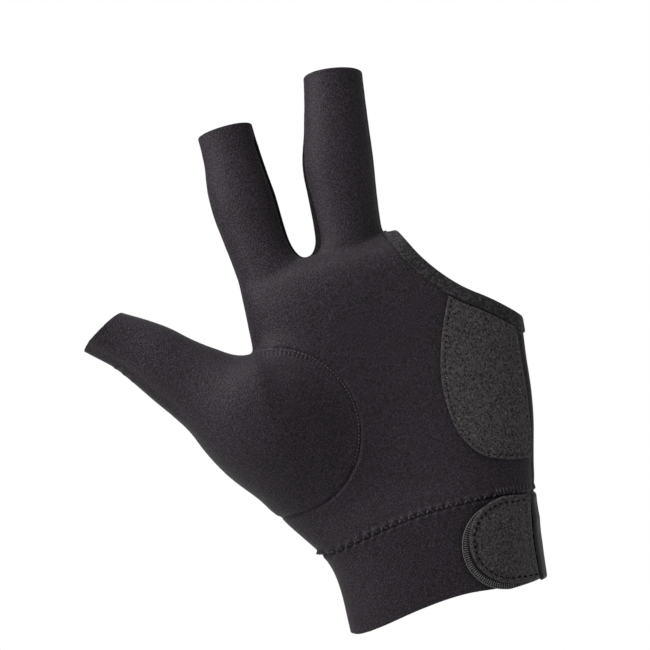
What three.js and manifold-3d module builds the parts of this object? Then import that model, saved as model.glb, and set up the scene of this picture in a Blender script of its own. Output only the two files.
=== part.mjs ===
// Billiard glove, left, in its worn form.
// Units are millimetres. +Z runs from the wrist to the finger sleeves, the palm faces -Y, the thumb points
// to -X.
// The origin is the middle of the wrist opening.
import * as THREE from "three";
import { mergeVertices } from "three/addons/utils/BufferGeometryUtils.js";
import Module from "manifold-3d";

const wasm = await Module();
wasm.setup();

// Cloth
const WALL = 1.2; // stretch fabric, with its seam allowance
const PIECE_GAP = 0.3; // clearance between neighbouring pieces
const OPEN_END = 3; // how far a hollow runs past an open end

// Wrist and palm
const CUFF_LENGTH = 29;
const WRIST_WIDTH = 63;
const WRIST_DEPTH = 42;
const PALM_LENGTH = 91; // cuff seam to the web between the fingers
const PALM_WIDTH = 86;
const PALM_DEPTH = 32;

// Finger and thumb sleeves. lean turns a sleeve towards +X, back tilts its tip away from the palm side.
const INDEX = { length: 70, width: 20, depth: 17, lean: 0, back: 5 };
const MIDDLE = { length: 77, width: 21, depth: 18.5, lean: 9.9, back: 5 };
const THUMB = { length: 88, width: 24, depth: 20, lean: -41.8, back: 0 };

// Seams and edges
// Half axes of the thumb's seam and its height over the thumb's root, as shares of the thumb's width.
const THUMB_SEAM = { across: 1.083, up: 1.113, rise: 0.78 };
const GUSSET_BOTTOM = 0.94; // lower end of the strip between the sleeves, as a share of the palm length
const BINDING_WIDTH = 4.5;
const BINDING_PROUD = 0.7; // folded tape over each face of the fabric

// Patch on the palm's side away from the thumb
const PATCH_WIDTH = 31;
const PATCH_HEIGHT = 56.5;
const PATCH_THICKNESS = 1;

// Wrist closure, over the cuff's side away from the thumb
const TAB_RADIUS = 13.9;
const TAB_THICKNESS = 1.6;
const TAB_TILT = 10.5; // degrees down towards the edge
const TAB_NARROWS = 0.045; // of each long side, towards the edge
const TAB_FROM_EDGE = 7.2; // centre of its round end, in from the edge
const TAB_UP = 0.56; // the same centre, as a share of the cuff length
const HOOK_THICKNESS = 1.2;
const HOOK_SHOWS = { left: 2.3, down: 0.6 }; // how far the hook pad stands out past the tab
const STRAP_THICKNESS = 1.8;
const STRAP_WIDTH = 26.5;
const STRAP_TILT = 3;
const STRAP_DOWN = 1.2; // how far its middle lies below the tab's centre
const STRAP_REACH = 40; // from the tab's centre to the strap's root on the back

// Facets round each form
const PALM_SIDES = 36;
const FINGER_SIDES = 20;
const THUMB_SIDES = 28;
const PALM_SQUARENESS = 2.5; // superellipse exponent; 2 is an ellipse
const FINGER_SQUARENESS = 2.15;
const FAR = 200; // beyond every face of the glove

// Sections of the wrist. up is a share of the cuff length, left and right of the wrist width, front and
// back of its depth.
const WRIST_SECTIONS = [
  { up: -0.112, left: -0.5, right: 0.492, front: -0.5, back: 0.5, hollow: 0 },
  { up: 0.186, left: -0.494, right: 0.503, front: -0.495, back: 0.495, hollow: 0 },
  { up: 0.466, left: -0.487, right: 0.523, front: -0.49, back: 0.485, hollow: 0 },
  { up: 0.726, left: -0.497, right: 0.553, front: -0.483, back: 0.472, hollow: 0 },
  { up: 0.931, left: -0.53, right: 0.583, front: -0.475, back: 0.464, hollow: 0 },
];

// Sections of the palm. up is a share of the palm length, left and right of its width, the rest of its
// depth.
const PALM_SECTIONS = [
  { up: 0.02, left: -0.417, right: 0.45, front: -0.62, back: 0.605, hollow: 0.01 },
  { up: 0.066, left: -0.448, right: 0.459, front: -0.6, back: 0.6, hollow: 0.02 },
  { up: 0.131, left: -0.491, right: 0.479, front: -0.575, back: 0.59, hollow: 0.05 },
  { up: 0.23, left: -0.512, right: 0.509, front: -0.54, back: 0.575, hollow: 0.07 },
  { up: 0.341, left: -0.512, right: 0.533, front: -0.51, back: 0.565, hollow: 0.08 },
  { up: 0.45, left: -0.49, right: 0.546, front: -0.485, back: 0.555, hollow: 0.08 },
  { up: 0.56, left: -0.459, right: 0.565, front: -0.465, back: 0.55, hollow: 0.06 },
  { up: 0.67, left: -0.434, right: 0.573, front: -0.45, back: 0.545, hollow: 0.03 },
  { up: 0.748, left: -0.425, right: 0.576, front: -0.43, back: 0.53, hollow: 0.01 },
  { up: 0.836, left: -0.418, right: 0.573, front: -0.395, back: 0.505, hollow: 0 },
  { up: 0.912, left: -0.41, right: 0.556, front: -0.33, back: 0.46, hollow: 0 },
  { up: 0.967, left: -0.4, right: 0.52, front: -0.22, back: 0.38, hollow: 0 },
  { up: 0.995, left: -0.37, right: 0.46, front: -0.06, back: 0.24, hollow: 0 },
];

// Where each sleeve's own axis starts in the palm: across is a share of the palm width, up of its length,
// out of its depth.
const INDEX_ROOT = { across: -0.297, up: 0.736, out: 0.08 };
const MIDDLE_ROOT = { across: -0.013, up: 0.758, out: 0.08 };
const THUMB_ROOT = { across: -0.233, up: 0.23, out: -0.09 };

// Sections of the sleeves. along is a share of the sleeve's length, left and right of its width, front and
// back of its depth.
const INDEX_SECTIONS = [
  { along: 0, left: -0.48, right: 0.5, front: -0.6, back: 0.56 },
  { along: 0.2, left: -0.5, right: 0.56, front: -0.6, back: 0.56 },
  { along: 0.325, left: -0.48, right: 0.66, front: -0.575, back: 0.55 },
  { along: 0.37, left: -0.49, right: 0.555, front: -0.56, back: 0.545 },
  { along: 0.42, left: -0.505, right: 0.505, front: -0.54, back: 0.54 },
  { along: 0.52, left: -0.54, right: 0.485, front: -0.52, back: 0.53 },
  { along: 0.66, left: -0.58, right: 0.485, front: -0.51, back: 0.51 },
  { along: 0.77, left: -0.56, right: 0.46, front: -0.48, back: 0.47 },
  { along: 0.88, left: -0.495, right: 0.44, front: -0.45, back: 0.44 },
  { along: 1, left: -0.48, right: 0.435, front: -0.44, back: 0.42 },
];

const MIDDLE_SECTIONS = [
  { along: 0, left: -0.5, right: 0.5, front: -0.56, back: 0.54 },
  { along: 0.17, left: -0.55, right: 0.53, front: -0.56, back: 0.54 },
  { along: 0.255, left: -0.615, right: 0.545, front: -0.545, back: 0.535 },
  { along: 0.295, left: -0.535, right: 0.53, front: -0.54, back: 0.53 },
  { along: 0.37, left: -0.525, right: 0.51, front: -0.525, back: 0.52 },
  { along: 0.5, left: -0.56, right: 0.5, front: -0.51, back: 0.51 },
  { along: 0.64, left: -0.6, right: 0.505, front: -0.505, back: 0.5 },
  { along: 0.77, left: -0.53, right: 0.49, front: -0.47, back: 0.46 },
  { along: 0.89, left: -0.475, right: 0.48, front: -0.445, back: 0.43 },
  { along: 1, left: -0.445, right: 0.475, front: -0.435, back: 0.42 },
];

const THUMB_SECTIONS = [
  { along: -0.06, left: -0.42, right: 0.17, front: -0.4, back: 0.55 },
  { along: 0.0, left: -0.68, right: 0.5, front: -0.6, back: 0.7 },
  { along: 0.09, left: -0.91, right: 0.83, front: -0.83, back: 0.78 },
  { along: 0.21, left: -0.865, right: 0.97, front: -0.96, back: 0.79 },
  { along: 0.35, left: -0.82, right: 0.98, front: -0.97, back: 0.76 },
  { along: 0.475, left: -0.7, right: 0.82, front: -0.86, back: 0.68 },
  { along: 0.54, left: -0.61, right: 0.62, front: -0.75, back: 0.6 },
  { along: 0.63, left: -0.545, right: 0.52, front: -0.63, back: 0.53 },
  { along: 0.72, left: -0.505, right: 0.46, front: -0.57, back: 0.49 },
  { along: 0.81, left: -0.455, right: 0.43, front: -0.52, back: 0.47 },
  { along: 0.91, left: -0.415, right: 0.345, front: -0.46, back: 0.43 },
  { along: 1, left: -0.44, right: 0.25, front: -0.44, back: 0.4 },
];

// Each sleeve's cut end: slant runs across it, pitch from its back up to its palm side, in degrees.
const INDEX_END = { slant: 0, pitch: 8 };
const MIDDLE_END = { slant: 0, pitch: 12 };
const THUMB_END = { slant: -11, pitch: 8 };

// Seams that run up the sides of the glove. Each row is how far a seam stands behind the middle of the
// depth, as a share of the wrist's, the palm's and the middle sleeve's depth, at a place across.
const SIDE_SEAM = [
  { across: -1, wrist: -0.07, palm: -0.09, sleeve: -0.16, tip: -0.16 },
  { across: 0, wrist: -0.07, palm: -0.09, sleeve: -0.16, tip: -0.16 },
  { across: 0.45, wrist: -0.14, palm: -0.19, sleeve: -0.16, tip: -0.16 },
  { across: 1, wrist: -0.14, palm: -0.19, sleeve: -0.16, tip: -0.16 },
];
const GUSSET_FRONT = [
  { across: -1, wrist: -0.11, palm: -0.11, sleeve: -0.19, tip: -0.19 },
  { across: -0.17, wrist: -0.11, palm: -0.11, sleeve: -0.19, tip: -0.19 },
  { across: -0.09, wrist: -0.2, palm: -0.2, sleeve: -0.35, tip: -0.19 },
  { across: 1, wrist: -0.2, palm: -0.2, sleeve: -0.35, tip: -0.19 },
];
const GUSSET_BACK = [
  { across: -1, wrist: 0.16, palm: 0.16, sleeve: 0.27, tip: 0.19 },
  { across: 1, wrist: 0.16, palm: 0.16, sleeve: 0.27, tip: 0.19 },
];
const TAB_END = [
  { across: -1, wrist: -0.238, palm: -0.31, sleeve: -0.5, tip: -0.5 },
  { across: 1, wrist: -0.238, palm: -0.31, sleeve: -0.5, tip: -0.5 },
];

// Wavy lower hem of the cuff: across is a share of the wrist width, up of the cuff length.
const HEM_CURVE = [
  { across: -0.53, up: 0.05 },
  { across: -0.44, up: 0.006 },
  { across: -0.32, up: 0.043 },
  { across: -0.16, up: 0.1 },
  { across: 0, up: 0.136 },
  { across: 0.13, up: 0.136 },
  { across: 0.25, up: 0.1 },
  { across: 0.4, up: 0.05 },
  { across: 0.56, up: 0 },
];

// Seam between the cuff and the palm, in the same shares.
const CUFF_SEAM = [
  { across: -0.55, up: 0.93 },
  { across: -0.44, up: 0.943 },
  { across: -0.32, up: 0.993 },
  { across: -0.16, up: 1.048 },
  { across: 0, up: 1.083 },
  { across: 0.16, up: 1.083 },
  { across: 0.32, up: 1.062 },
  { across: 0.48, up: 1.017 },
  { across: 0.63, up: 0.955 },
];

// Free edge beside the middle sleeve: across and up are shares of the palm width and length.
const OPENING_EDGE = [
  { across: 0.212, up: 1.005 },
  { across: 0.262, up: 0.9 },
  { across: 0.32, up: 0.817 },
  { across: 0.388, up: 0.745 },
  { across: 0.47, up: 0.684 },
  { across: 0.536, up: 0.626 },
  { across: 0.585, up: 0.578 },
];

// Curved side of the patch, from its top corner down: shares of the patch width and height from its lower
// right corner.
const PATCH_EDGE = [
  { across: -0.64, up: 1.02 },
  { across: -0.82, up: 0.82 },
  { across: -0.955, up: 0.6 },
  { across: -0.99, up: 0.42 },
  { across: -0.96, up: 0.25 },
  { across: -0.84, up: 0.12 },
  { across: -0.66, up: 0.045 },
  { across: -0.35, up: 0 },
];
const PATCH_CORNER = { across: 0.565, up: 0.112 };

const radians = THREE.MathUtils.degToRad;
const cuffUp = (share) => share * CUFF_LENGTH;
const palmUp = (share) => CUFF_LENGTH + share * PALM_LENGTH;

// A closed three.js geometry as a solid that can be joined and cut.
function toSolid(geometry) {
  const bare = geometry.clone();
  bare.deleteAttribute("normal");
  bare.deleteAttribute("uv");
  const merged = mergeVertices(bare, 1e-4);
  const mesh = new wasm.Mesh({
    numProp: 3,
    vertProperties: new Float32Array(merged.attributes.position.array),
    triVerts: new Uint32Array(merged.index.array),
  });
  return new wasm.Manifold(mesh);
}

function toGeometry(solid) {
  const mesh = solid.getMesh();
  const positions = new Float32Array(mesh.numVert * 3);
  for (let i = 0; i < mesh.numVert; i++) {
    const from = i * mesh.numProp;
    positions.set(mesh.vertProperties.subarray(from, from + 3), i * 3);
  }
  const indexed = new THREE.BufferGeometry();
  indexed.setAttribute("position", new THREE.BufferAttribute(positions, 3));
  indexed.setIndex(new THREE.BufferAttribute(mesh.triVerts, 1));
  const geometry = indexed.toNonIndexed();
  geometry.computeVertexNormals();
  return geometry;
}

// A ring of points round one section, grown outwards by the given amount.
function sectionRing(section, grow, sides, squareness) {
  const halfWidth = (section.right - section.left) / 2 + grow;
  const halfDepth = (section.back - section.front) / 2 + grow;
  const middle = new THREE.Vector2(
    (section.left + section.right) / 2,
    (section.front + section.back) / 2,
  );
  const points = [];
  for (let i = 0; i < sides; i++) {
    const angle = (2 * Math.PI * i) / sides;
    const c = Math.cos(angle);
    const s = Math.sin(angle);
    const x = halfWidth * Math.sign(c) * Math.abs(c) ** (2 / squareness);
    let y = halfDepth * Math.sign(s) * Math.abs(s) ** (2 / squareness);
    if (y < 0) y += (section.hollow ?? 0) * Math.cos((x / halfWidth) * (Math.PI / 2)) ** 2;
    points.push(new THREE.Vector3(middle.x + x, middle.y + y, section.up));
  }
  return points;
}

// A closed body through rings with the same number of points, capped at both ends.
function loft(rings) {
  const sides = rings[0].length;
  const positions = rings.flat().flatMap((point) => point.toArray());
  const index = [];
  for (let r = 0; r < rings.length - 1; r++) {
    for (let i = 0; i < sides; i++) {
      const a = r * sides + i;
      const b = r * sides + ((i + 1) % sides);
      index.push(a, b, b + sides, a, b + sides, a + sides);
    }
  }
  const top = (rings.length - 1) * sides;
  for (let i = 1; i < sides - 1; i++) {
    index.push(0, i + 1, i);
    index.push(top, top + i, top + i + 1);
  }
  const geometry = new THREE.BufferGeometry();
  geometry.setAttribute("position", new THREE.Float32BufferAttribute(positions, 3));
  geometry.setIndex(index);
  return geometry;
}

// Palm and wrist as one closed body, grown by the given amount. A hollow runs on past the wrist opening.
function palmBody(grow) {
  const wrist = WRIST_SECTIONS.map((row) => ({
    up: cuffUp(row.up),
    left: row.left * WRIST_WIDTH,
    right: row.right * WRIST_WIDTH,
    front: row.front * WRIST_DEPTH,
    back: row.back * WRIST_DEPTH,
    hollow: row.hollow * WRIST_DEPTH,
  }));
  const palm = PALM_SECTIONS.map((row) => ({
    up: palmUp(row.up),
    left: row.left * PALM_WIDTH,
    right: row.right * PALM_WIDTH,
    front: row.front * PALM_DEPTH,
    back: row.back * PALM_DEPTH,
    hollow: row.hollow * PALM_DEPTH,
  }));
  const rows = [...wrist, ...palm];
  if (grow < 0) rows[0].up -= OPEN_END;
  rows[rows.length - 1].up += grow;
  rows[rows.length - 2].up += grow / 2;
  return toSolid(loft(rows.map((row) => sectionRing(row, grow, PALM_SIDES, PALM_SQUARENESS))));
}

// The place of a sleeve: its root in the palm, leaning across and tilted back.
function sleeveFrame(sleeve, root) {
  const frame = new THREE.Object3D();
  frame.position.set(root.across * PALM_WIDTH, root.out * PALM_DEPTH, palmUp(root.up));
  frame.rotation.set(-radians(sleeve.back), radians(sleeve.lean), 0, "YXZ");
  frame.updateMatrix();
  return frame.matrix;
}

// One sleeve as a closed body, grown by the given amount. A hollow runs on past its cut end.
function sleeveBody(sleeve, root, table, end, sides, grow) {
  const rings = table.map((row) =>
    sectionRing(
      {
        up: row.along * sleeve.length,
        left: row.left * sleeve.width,
        right: row.right * sleeve.width,
        front: row.front * sleeve.depth,
        back: row.back * sleeve.depth,
      },
      grow,
      sides,
      FINGER_SQUARENESS,
    ),
  );
  const cut = (point) =>
    point.x * Math.tan(radians(end.slant)) - point.y * Math.tan(radians(end.pitch));
  const last = rings[rings.length - 1];
  for (const point of last) point.z += cut(point);
  if (grow < 0) {
    rings.push(last.map((point) => point.clone().add(new THREE.Vector3(0, 0, OPEN_END))));
  }
  return toSolid(loft(rings).applyMatrix4(sleeveFrame(sleeve, root)));
}

// The whole glove form, grown by the given amount; negative growth gives the hollow inside the fabric.
function gloveForm(grow) {
  const bodies = [
    palmBody(grow),
    sleeveBody(INDEX, INDEX_ROOT, INDEX_SECTIONS, INDEX_END, FINGER_SIDES, grow),
    sleeveBody(MIDDLE, MIDDLE_ROOT, MIDDLE_SECTIONS, MIDDLE_END, FINGER_SIDES, grow),
    sleeveBody(THUMB, THUMB_ROOT, THUMB_SECTIONS, THUMB_END, THUMB_SIDES, grow),
  ];
  return bodies.reduce((whole, body) => whole.add(body));
}

// A sheet that lies over the fabric, between two heights above it.
function layer(low, high) {
  return palmBody(high).subtract(palmBody(low));
}

// A flat outline in X and Z, extruded through the whole glove along Y and set in its place.
function prism(shape, place = new THREE.Matrix4()) {
  const geometry = new THREE.ExtrudeGeometry(shape, {
    depth: 2 * FAR,
    bevelEnabled: false,
    curveSegments: 20,
  });
  geometry.rotateX(Math.PI / 2);
  geometry.translate(0, FAR, 0);
  return toSolid(geometry.applyMatrix4(place));
}

function polygon(points) {
  return new THREE.Shape(points.map((point) => new THREE.Vector2(point.x, point.y)));
}

// A smooth line through table points, as short straight steps.
function smoothLine(points, steps) {
  return new THREE.SplineCurve(points).getPoints(steps);
}

// A line moved sideways; positive distances go to the right of its direction.
function shifted(line, distance) {
  return line.map((point, i) => {
    const before = line[Math.max(i - 1, 0)];
    const after = line[Math.min(i + 1, line.length - 1)];
    const along = after.clone().sub(before).normalize();
    return new THREE.Vector2(point.x + along.y * distance, point.y - along.x * distance);
  });
}

const wristPoint = (row) => new THREE.Vector2(row.across * WRIST_WIDTH, cuffUp(row.up));
const palmPoint = (row) => new THREE.Vector2(row.across * PALM_WIDTH, palmUp(row.up));

// Everything below a line that runs from left to right.
function below(line) {
  const first = line[0];
  const last = line[line.length - 1];
  return prism(
    polygon([
      { x: -FAR, y: first.y },
      ...line,
      { x: FAR, y: last.y },
      { x: FAR, y: -FAR },
      { x: -FAR, y: -FAR },
    ]),
  );
}

const hemLine = smoothLine(HEM_CURVE.map(wristPoint), 16);
const cuffSeamLine = smoothLine(CUFF_SEAM.map(wristPoint), 12);
const openingLine = smoothLine(OPENING_EDGE.map(palmPoint), 14);

// The thumb's side of the seam that curves over the palm. Its other border runs up beside the index
// sleeve.
function thumbRegion(gap) {
  const centre = {
    x: INDEX_ROOT.across * PALM_WIDTH - INDEX.width / 2 - PIECE_GAP,
    z: palmUp(THUMB_ROOT.up) + THUMB_SEAM.rise * THUMB.width,
  };
  const across = THUMB_SEAM.across * THUMB.width + gap;
  const up = THUMB_SEAM.up * THUMB.width + gap;
  const clearOfIndex = centre.x - 0.15 * INDEX.width;
  const shape = new THREE.Shape();
  shape.moveTo(-FAR, centre.z - up);
  shape.lineTo(centre.x, centre.z - up);
  shape.absellipse(centre.x, centre.z, across, up, -Math.PI / 2, Math.PI / 2);
  shape.lineTo(clearOfIndex, centre.z + up + INDEX.length);
  shape.lineTo(-FAR, FAR);
  return prism(shape);
}

// What the free edge leaves open, grown into the palm by the given width.
function openingRegion(width) {
  const edge = shifted(openingLine, width);
  const last = edge[edge.length - 1];
  const onward = last.clone().sub(edge[edge.length - 2]).setLength(FAR);
  const beyond = last.clone().add(onward);
  const top = palmUp(1) + OPEN_END;
  return prism(polygon([...edge, beyond, { x: beyond.x, y: top }, { x: edge[0].x, y: top }]));
}

// A line up the middle of the glove's depth, moved back by the shares in a row of a seam table.
function depthLine(row) {
  const wrist = WRIST_SECTIONS.map((section) => ({
    depth: ((section.front + section.back) / 2 + row.wrist) * WRIST_DEPTH,
    up: cuffUp(section.up),
  }));
  const palm = PALM_SECTIONS.filter((section) => section.up < MIDDLE_ROOT.up).map((section) => ({
    depth: ((section.front + section.back) / 2 + row.palm) * PALM_DEPTH,
    up: palmUp(section.up),
  }));
  const rise = MIDDLE.length * Math.tan(radians(MIDDLE.back));
  const sleeve = [
    { along: 0.2, behind: row.sleeve },
    { along: 1.2, behind: row.tip },
  ].map(({ along, behind }) => ({
    depth: MIDDLE_ROOT.out * PALM_DEPTH + along * rise + behind * MIDDLE.depth,
    up: palmUp(MIDDLE_ROOT.up) + along * MIDDLE.length,
  }));
  const line = [...wrist, ...palm, ...sleeve];
  line[0].up -= FAR;
  return line;
}

// Everything on the palm side of the surface that a seam table gives.
function aheadOf(table, gap = 0) {
  const rings = table.map((row) => {
    const x = row.across * PALM_WIDTH;
    const line = depthLine(row);
    const bottom = line[0].up;
    const top = line[line.length - 1].up;
    return [
      new THREE.Vector3(x, -FAR, bottom),
      ...line.map((point) => new THREE.Vector3(x, point.depth + gap, point.up)),
      new THREE.Vector3(x, -FAR, top),
    ];
  });
  return toSolid(loft(rings));
}

// The strip that runs up the facing sides of the two sleeves and over the web between them.
function gussetRegion(gap) {
  const strip = aheadOf(GUSSET_BACK, gap).subtract(aheadOf(GUSSET_FRONT, -gap));
  const bottom = palmUp(GUSSET_BOTTOM) - gap;
  const axisOf = (sleeve, root, along) => ({
    x: root.across * PALM_WIDTH + along * Math.sin(radians(sleeve.lean)),
    y: palmUp(root.up) + along * Math.cos(radians(sleeve.lean)),
  });
  const reach = 1.2 * MIDDLE.length;
  const between = prism(
    polygon([
      { x: axisOf(INDEX, INDEX_ROOT, 0).x, y: bottom },
      { x: axisOf(MIDDLE, MIDDLE_ROOT, 0).x, y: bottom },
      axisOf(MIDDLE, MIDDLE_ROOT, reach),
      axisOf(INDEX, INDEX_ROOT, reach),
    ]),
  );
  return strip.intersect(between);
}

const shell = gloveForm(0)
  .subtract(gloveForm(-WALL))
  .subtract(below(hemLine));
const cuffSide = (gap) => below(cuffSeamLine.map((p) => new THREE.Vector2(p.x, p.y + gap)));
const bound = openingRegion(BINDING_WIDTH + PIECE_GAP);
const palmSide = aheadOf(SIDE_SEAM);

// Fabric panels, parted by their seams.
const panels = shell
  .subtract(cuffSide(PIECE_GAP))
  .subtract(bound)
  .subtract(thumbRegion(PIECE_GAP))
  .subtract(gussetRegion(PIECE_GAP));
const palmPanel = panels.intersect(palmSide);
const backPanel = panels.subtract(aheadOf(SIDE_SEAM, PIECE_GAP));
const thumbPanel = shell.intersect(thumbRegion(0));
const wristCuff = shell.intersect(cuffSide(0));
const fingerGusset = shell.intersect(gussetRegion(0));

// Folded tape over the free edge.
const fingerBinding = gloveForm(BINDING_PROUD)
  .subtract(gloveForm(-WALL - BINDING_PROUD))
  .intersect(openingRegion(BINDING_WIDTH))
  .subtract(openingRegion(0));

// Patch over the heel of the palm, up to the tape and the side seam.
function patchRegion() {
  const corner = palmPoint(PATCH_CORNER);
  const edge = smoothLine(
    PATCH_EDGE.map(
      (row) =>
        new THREE.Vector2(corner.x + row.across * PATCH_WIDTH, corner.y + row.up * PATCH_HEIGHT),
    ),
    18,
  );
  return prism(polygon([...edge, { x: FAR, y: corner.y }, { x: FAR, y: edge[0].y }]));
}
const palmPatch = layer(PIECE_GAP, PIECE_GAP + PATCH_THICKNESS)
  .intersect(patchRegion())
  .intersect(palmSide)
  .subtract(bound);

// An outline of the wrist closure, from the centre of the tab's round end, tilted down to the edge.
function closurePrism(shape, tilt, left, down) {
  const edge = WRIST_SECTIONS[2].right * WRIST_WIDTH;
  const place = new THREE.Matrix4()
    .makeTranslation(edge - TAB_FROM_EDGE - left, 0, cuffUp(TAB_UP) - down)
    .multiply(new THREE.Matrix4().makeRotationY(radians(tilt)));
  return prism(shape, place);
}

// Half round end to the left, narrowing a little towards the edge of the wrist.
function tabShape() {
  const halfEnd = TAB_RADIUS - TAB_NARROWS * WRIST_WIDTH;
  const shape = new THREE.Shape();
  shape.moveTo(WRIST_WIDTH, halfEnd);
  shape.lineTo(0, TAB_RADIUS);
  shape.absarc(0, 0, TAB_RADIUS, Math.PI / 2, (3 * Math.PI) / 2);
  shape.lineTo(WRIST_WIDTH, -halfEnd);
  return shape;
}

function strapShape() {
  return polygon([
    { x: -STRAP_REACH, y: -STRAP_WIDTH / 2 },
    { x: WRIST_WIDTH, y: -STRAP_WIDTH / 2 },
    { x: WRIST_WIDTH, y: STRAP_WIDTH / 2 },
    { x: -STRAP_REACH, y: STRAP_WIDTH / 2 },
  ]);
}

// Hook pad on the cuff, tab on the pad, and the strap that comes round from the back.
const hookTop = PIECE_GAP + HOOK_THICKNESS;
const tabSide = aheadOf(TAB_END);
const hookPad = layer(PIECE_GAP, hookTop)
  .intersect(closurePrism(tabShape(), TAB_TILT, HOOK_SHOWS.left, HOOK_SHOWS.down))
  .intersect(tabSide);
const strapTab = layer(hookTop + PIECE_GAP, hookTop + PIECE_GAP + TAB_THICKNESS)
  .intersect(closurePrism(tabShape(), TAB_TILT, 0, 0))
  .intersect(tabSide);
const wristStrap = layer(PIECE_GAP, PIECE_GAP + STRAP_THICKNESS)
  .intersect(closurePrism(strapShape(), STRAP_TILT, 0, STRAP_DOWN))
  .subtract(aheadOf(TAB_END, PIECE_GAP));

// Finishes
const fabric = { color: 0x2a272b, roughness: 0.72, metalness: 0 };
const textured = { color: 0x2c2b2c, roughness: 0.85, metalness: 0 };
const elastic = { color: 0x222124, roughness: 0.8, metalness: 0 };
const hooks = { color: 0x1b1a1c, roughness: 0.5, metalness: 0 };

function piece(name, solid, finish) {
  const mesh = new THREE.Mesh(toGeometry(solid), new THREE.MeshStandardMaterial(finish));
  mesh.name = name;
  return mesh;
}

const glove = new THREE.Group();
glove.add(
  piece("palm_panel", palmPanel, fabric),
  piece("back_panel", backPanel, fabric),
  piece("thumb_panel", thumbPanel, fabric),
  piece("finger_gusset", fingerGusset, fabric),
  piece("wrist_cuff", wristCuff, fabric),
  piece("finger_binding", fingerBinding, elastic),
  piece("palm_patch", palmPatch, textured),
  piece("wrist_strap", wristStrap, elastic),
  piece("hook_pad", hookPad, hooks),
  piece("strap_tab", strapTab, textured),
);

export default glove;
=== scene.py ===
"""Billiard glove: fabric panels, tape, patch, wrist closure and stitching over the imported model."""

import math

import bmesh
import bpy
import numpy as np
from bpy.props import FloatProperty, FloatVectorProperty, IntProperty, PointerProperty
from mathutils import Matrix, Vector
from mathutils.bvhtree import BVHTree


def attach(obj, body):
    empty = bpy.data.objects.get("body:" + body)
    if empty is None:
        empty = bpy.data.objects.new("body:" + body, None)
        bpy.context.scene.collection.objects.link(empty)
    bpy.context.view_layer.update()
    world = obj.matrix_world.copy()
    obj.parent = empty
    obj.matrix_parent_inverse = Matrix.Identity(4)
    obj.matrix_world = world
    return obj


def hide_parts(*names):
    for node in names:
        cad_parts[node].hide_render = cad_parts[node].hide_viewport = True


bl_info = {
    "name": "Billiard Glove",
    "version": (1, 0, 0),
    "blender": (4, 5, 0),
    "location": "3D View > Sidebar > Glove",
    "description": "Builds a left-handed billiard glove in its worn form",
    "category": "Add Mesh",
}

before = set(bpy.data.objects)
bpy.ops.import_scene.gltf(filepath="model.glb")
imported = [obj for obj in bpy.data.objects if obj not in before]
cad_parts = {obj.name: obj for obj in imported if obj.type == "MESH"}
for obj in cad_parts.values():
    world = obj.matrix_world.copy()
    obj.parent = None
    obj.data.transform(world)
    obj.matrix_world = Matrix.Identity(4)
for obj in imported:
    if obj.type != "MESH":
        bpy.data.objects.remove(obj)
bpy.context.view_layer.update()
MM = 0.001
PHOTO_LEAN = math.radians(16)  # how far the glove leans to the left in the picture

# Form of the glove, in millimetres
# Wrist and palm: up, left, right, front, back, hollow of the palm side
WRIST_AND_PALM = (
    (-5, -31.6, 30.8, -21.0, 21.0, 0.0),
    (5, -31.1, 31.8, -20.8, 20.8, 0.0),
    (13.5, -30.7, 32.9, -20.6, 20.4, 0.0),
    (21, -31.3, 34.8, -20.3, 19.8, 0.0),
    (27, -33.4, 36.7, -19.9, 19.5, 0.0),
    (31, -35.9, 38.6, -19.8, 19.4, 0.3),
    (35, -38.5, 39.6, -19.2, 19.2, 0.6),
    (41, -42.2, 41.3, -18.4, 18.9, 1.6),
    (50, -44.0, 43.9, -17.3, 18.4, 2.2),
    (60, -44.0, 45.9, -16.3, 18.1, 2.6),
    (70, -42.1, 47.2, -15.5, 17.8, 2.6),
    (80, -39.5, 48.7, -14.9, 17.6, 2.9),
    (90, -37.3, 49.4, -14.4, 17.4, 2.5),
    (97, -36.5, 49.5, -13.8, 17.0, 1.9),
    (105, -35.9, 49.2, -12.6, 16.2, 1.0),
    (112, -35.3, 47.8, -10.6, 14.7, 0.0),
    (117, -34.4, 44.7, -7.6, 12.2, 0.0),
    (119.6, -32.0, 39.6, -2.4, 7.7, 0.0),
)
# Sleeves: along, left, right, front, back
INDEX_ROWS = (
    (0, -9.6, 10.0, -10.2, 9.5),
    (14, -10.0, 11.2, -10.2, 9.5),
    (22.8, -9.6, 13.2, -9.8, 9.4),
    (25.9, -9.8, 11.1, -9.5, 9.3),
    (29.4, -10.1, 10.1, -9.2, 9.2),
    (36.4, -10.8, 9.7, -8.8, 9.0),
    (46.2, -11.6, 9.7, -8.7, 8.7),
    (53.9, -11.2, 9.2, -8.2, 8.0),
    (61.6, -9.9, 8.8, -7.7, 7.5),
    (69.6, -9.6, 8.7, -7.5, 7.1),
    (74, -9.6, 8.7, -7.5, 7.1),
)
MIDDLE_ROWS = (
    (0, -10.5, 10.5, -10.4, 10.0),
    (13.1, -11.6, 11.1, -10.4, 10.0),
    (19.6, -12.9, 11.4, -10.1, 9.9),
    (22.7, -11.2, 11.1, -10.0, 9.8),
    (28.5, -11.0, 10.7, -9.7, 9.6),
    (38.5, -11.8, 10.5, -9.4, 9.4),
    (49.3, -12.6, 10.6, -9.3, 9.2),
    (59.3, -11.1, 10.3, -8.7, 8.5),
    (68.5, -10.0, 10.1, -8.2, 8.0),
    (77, -9.3, 10.0, -8.0, 7.8),
    (82, -9.3, 10.0, -8.0, 7.8),
)
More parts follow.
